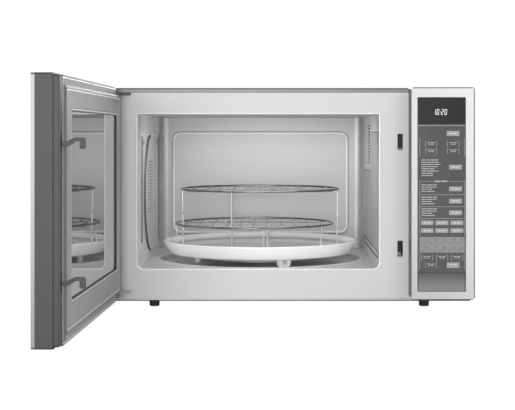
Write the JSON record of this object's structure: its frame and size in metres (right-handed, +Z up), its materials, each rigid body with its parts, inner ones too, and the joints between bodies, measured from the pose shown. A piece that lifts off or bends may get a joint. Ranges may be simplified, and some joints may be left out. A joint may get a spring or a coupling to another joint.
{
  "type": "microwave oven",
  "caption": "Countertop convection microwave oven, side-hinged door open, with turntable tray, wire racks, touch panel and push-button door release.",
  "frame": {"origin": "middle of the whole part's footprint at rest, door open, on the surface it stands on", "axes": "+Z up, +Y from the front towards the rear panel, +X to the right as seen from the front"},
  "size_m": [0.6562, 0.9897, 0.38],
  "materials": {
    "case_steel": "satin grey powder paint",
    "stainless": "fine brushed, satin",
    "cavity_steel": "bright satin sheet",
    "zinc_steel": "zinc plated, dull",
    "black_plastic": "fine texture",
    "dark_plastic": "fine texture",
    "grey_plastic": "satin",
    "white_plastic": "smooth",
    "ceramic_tray": "glossy white glaze",
    "dark_glass": "tinted, polished",
    "window_glass": "tinted, polished",
    "panel_glass": "printed on the back, polished",
    "chrome_wire": "plated wire",
    "spring_steel": "drawn wire",
    "mica": "pressed mica sheet",
    "foot_rubber": "matt",
    "circuit_board": "lacquered board",
    "heater_sheath": "oxidised sheath"
  },
  "bodies": {
    "cabinet": {"outer_case": "case_steel", "base_pan": "zinc_steel", "rear_panel": "zinc_steel", "feet": "foot_rubber", "front_rails": "cavity_steel", "front_stiles": "cavity_steel", "front_bridges": "cavity_steel", "cavity_ceiling": "cavity_steel", "cavity_left_wall": "cavity_steel", "cavity_right_wall": "cavity_steel", "cavity_back_wall": "cavity_steel", "cavity_floor": "cavity_steel", "waveguide_cover": "mica", "waveguide": "zinc_steel", "magnetron": "zinc_steel", "convection_housing": "zinc_steel", "convection_heater": "heater_sheath", "convection_motor": "zinc_steel", "hinge_upper": "zinc_steel", "hinge_lower": "zinc_steel", "control_bezel": "stainless", "control_glass": "panel_glass", "display_module": "black_plastic", "control_board": "circuit_board", "button_spring": "spring_steel", "latch_body": "dark_plastic", "interlock_switches": "black_plastic", "hv_transformer": "zinc_steel", "hv_capacitor": "cavity_steel", "hv_diode": "black_plastic", "fan_motor": "zinc_steel", "fan_shroud": "dark_plastic", "filter_board": "circuit_board", "oven_lamp": "white_plastic", "turntable_motor": "zinc_steel", "thermal_cutouts": "white_plastic", "cord_gland": "black_plastic", "case_screws": "zinc_steel"},
    "door": {"door_skin": "stainless", "door_front_glass": "dark_glass", "door_frame": "dark_plastic", "door_screen": "zinc_steel", "door_inner_panel": "cavity_steel", "door_inner_glass": "window_glass", "hinge_bushes": "white_plastic", "latch_spring": "spring_steel"},
    "latch": {"latch_arm": "dark_plastic"},
    "coupler": {"drive_coupler": "white_plastic"},
    "tray": {"tray": "ceramic_tray"},
    "ring": {"roller_ring": "white_plastic"},
    "roller_1": {"roller_1": "white_plastic"},
    "roller_2": {"roller_2": "white_plastic"},
    "roller_3": {"roller_3": "white_plastic"},
    "low_rack": {"low_rack": "chrome_wire"},
    "high_rack": {"high_rack": "chrome_wire"},
    "cooling_fan": {"cooling_fan": "dark_plastic"},
    "convection_fan": {"convection_fan": "spring_steel"},
    "button": {"open_button": "grey_plastic"},
    "lever": {"open_lever": "white_plastic"}
  },
  "joints": [
    {"name": "door_hinge", "type": "hinge", "parent": "cabinet", "child": "door", "pos_m": [-0.2897, 0.013, 0.198], "axis": [0, 0, -1], "range_deg": [-91.57, 18.4]},
    {"name": "latch_slide", "type": "slide", "parent": "door", "child": "latch", "axis": [0, 0, 1], "range_m": [0, 0.0045], "stiffness_N_per_m": 300, "springref_m": -0.01, "deforming": ["latch_spring"]},
    {"name": "button_slide", "type": "slide", "parent": "cabinet", "child": "button", "axis": [0, 1, 0], "range_m": [0, 0.005], "stiffness_N_per_m": 300, "springref_m": -0.01, "deforming": ["button_spring"]},
    {"name": "lever_turn", "type": "hinge", "parent": "cabinet", "child": "lever", "pos_m": [0.2151, 0.039, 0.072], "axis": [1, 0, 0], "range_deg": [0, 15.5]},
    {"name": "turntable_spin", "type": "hinge", "parent": "cabinet", "child": "coupler", "pos_m": [-0.0384, 0.236, 0.06], "axis": [0, 0, 1], "continuous": true},
    {"name": "tray_lift", "type": "slide", "parent": "coupler", "child": "tray", "axis": [0, 0, 1], "range_m": [0, 0.025]},
    {"name": "ring_spin", "type": "hinge", "parent": "cabinet", "child": "ring", "pos_m": [-0.0384, 0.236, 0.0699], "axis": [0, 0, 1], "continuous": true},
    {"name": "roller_1_spin", "type": "hinge", "parent": "ring", "child": "roller_1", "pos_m": [0.00558, 0.12435, 0.0699], "axis": [0.3665, -0.9304, 0], "continuous": true},
    {"name": "roller_2_spin", "type": "hinge", "parent": "ring", "child": "roller_2", "pos_m": [0.0363, 0.32991, 0.0699], "axis": [0.6225, 0.7826, 0], "continuous": true},
    {"name": "roller_3_spin", "type": "hinge", "parent": "ring", "child": "roller_3", "pos_m": [-0.15708, 0.25373, 0.0699], "axis": [-0.989, 0.1478, 0], "continuous": true},
    {"name": "low_rack_lift", "type": "slide", "parent": "tray", "child": "low_rack", "axis": [0, 0, 1], "range_m": [0, 0.04]},
    {"name": "high_rack_lift", "type": "slide", "parent": "tray", "child": "high_rack", "axis": [0, 0, 1], "range_m": [0, 0.09]},
    {"name": "cooling_fan_spin", "type": "hinge", "parent": "cabinet", "child": "cooling_fan", "pos_m": [0.2531, 0.459, 0.25], "axis": [0, 1, 0], "continuous": true},
    {"name": "convection_fan_spin", "type": "hinge", "parent": "cabinet", "child": "convection_fan", "pos_m": [-0.2699, 0.236, 0.217], "axis": [1, 0, 0], "continuous": true}
  ],
  "couplings": [
    {"joint": "lever_turn", "follows": "button_slide", "rad_per_m": 52},
    {"joint": "ring_spin", "follows": "turntable_spin", "ratio": 0.5},
    {"joint": "roller_1_spin", "follows": "turntable_spin", "ratio": -4.7244},
    {"joint": "roller_2_spin", "follows": "turntable_spin", "ratio": -4.7244},
    {"joint": "roller_3_spin", "follows": "turntable_spin", "ratio": -4.7244}
  ]
}
